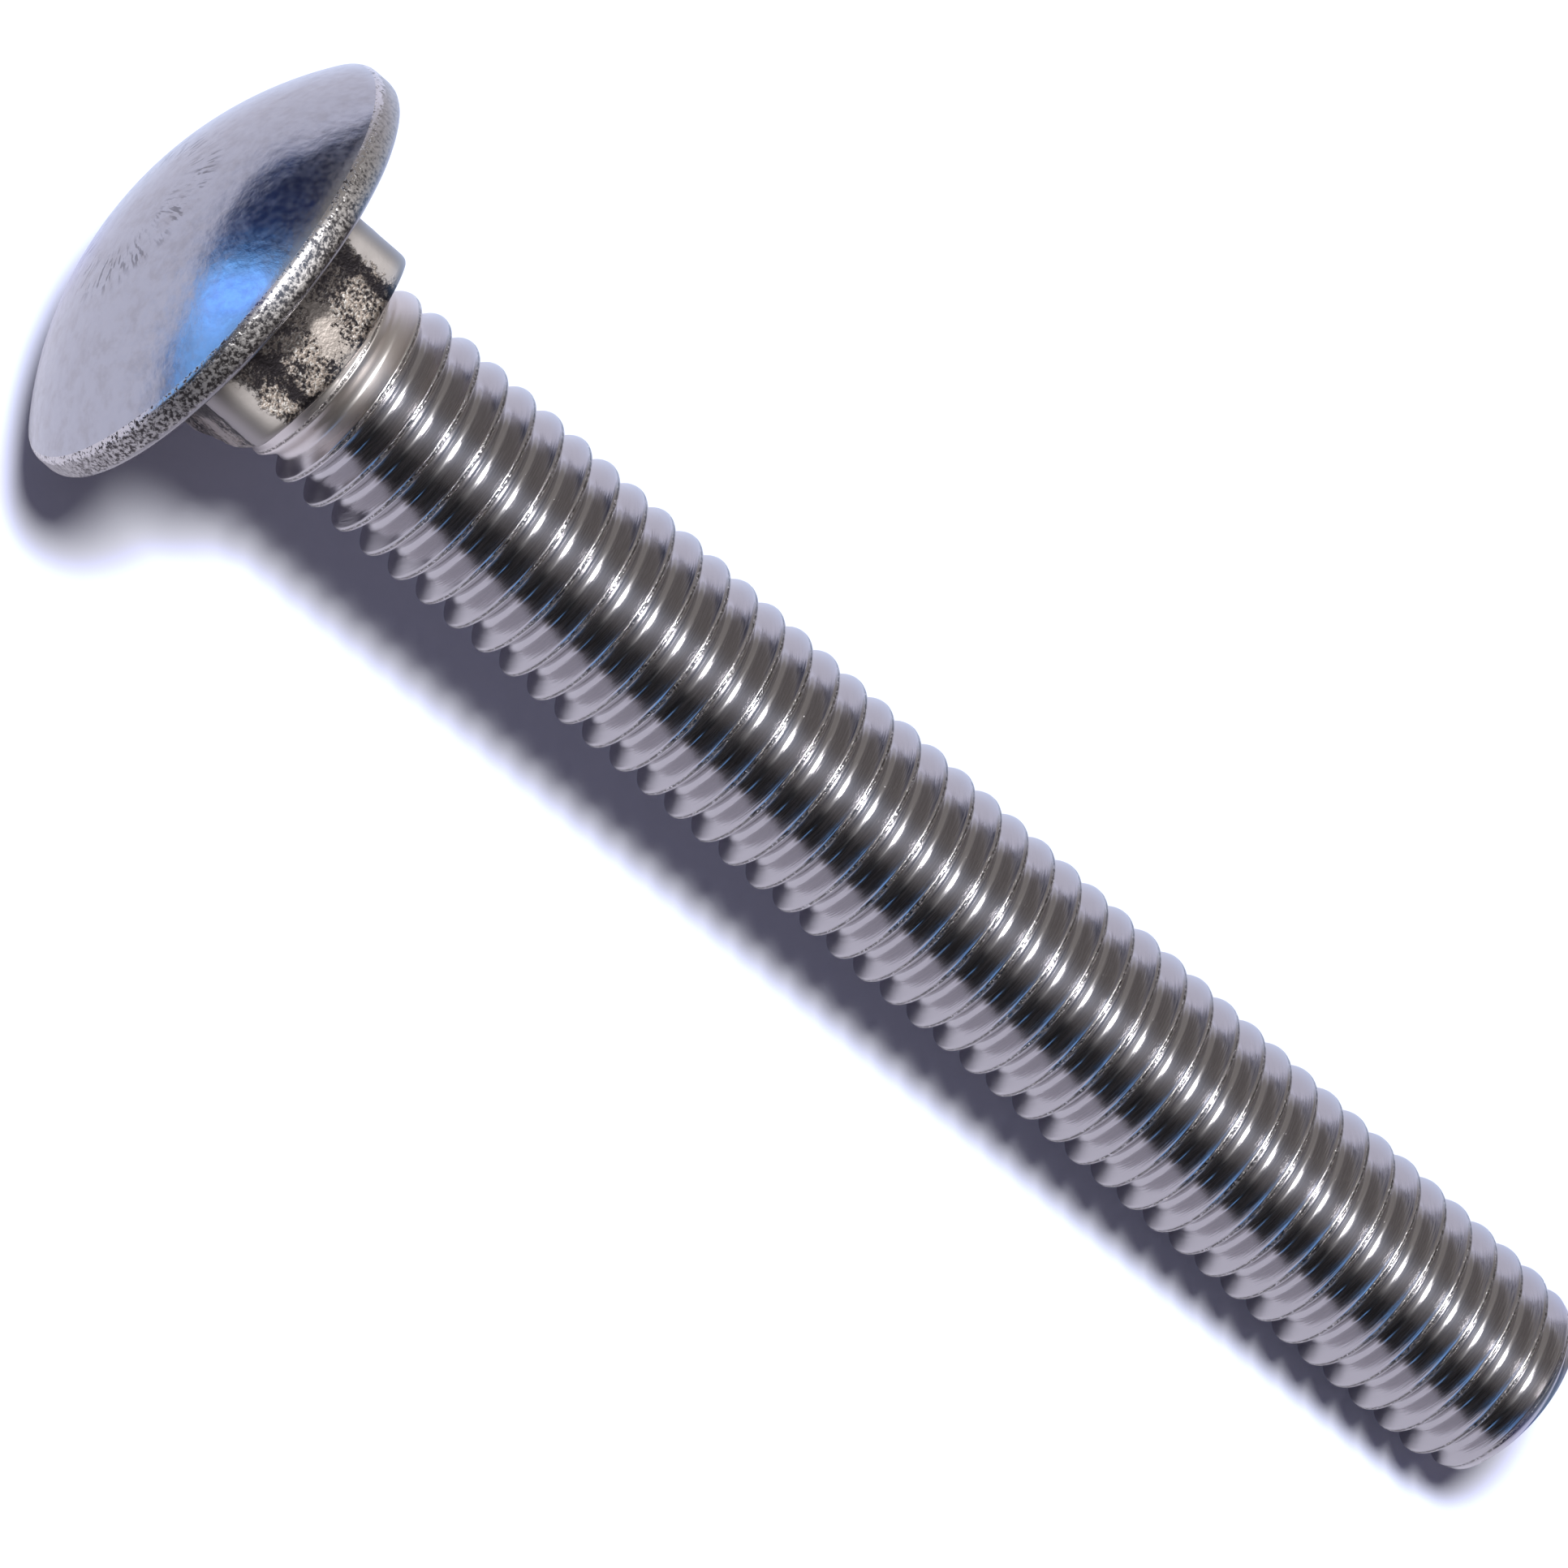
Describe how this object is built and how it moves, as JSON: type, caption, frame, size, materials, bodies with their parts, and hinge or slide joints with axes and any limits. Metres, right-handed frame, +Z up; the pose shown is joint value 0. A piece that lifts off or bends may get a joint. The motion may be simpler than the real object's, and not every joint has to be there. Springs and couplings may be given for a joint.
{
  "type": "carriage bolt",
  "caption": "Domed round-head bolt with a square neck under the head and a right-hand thread along the whole shank, for clamping timber or sheet.",
  "frame": {"origin": "bottom centre of the bounding box of the bolt as it lies at rest on its head's rim and its last full thread", "axes": "+X from the head to the tip along the lying bolt, +Z up; the bolt's own axis dips 4.34 degrees below +X towards the tip"},
  "size_m": [0.0808, 0.0206, 0.0207],
  "materials": {
    "bright_steel": "bright cold-formed steel, satin on the dome, rough on the rim and neck, polished in the thread"
  },
  "bodies": {
    "root": {"carriage_bolt": "bright_steel"}
  },
  "joints": []
}
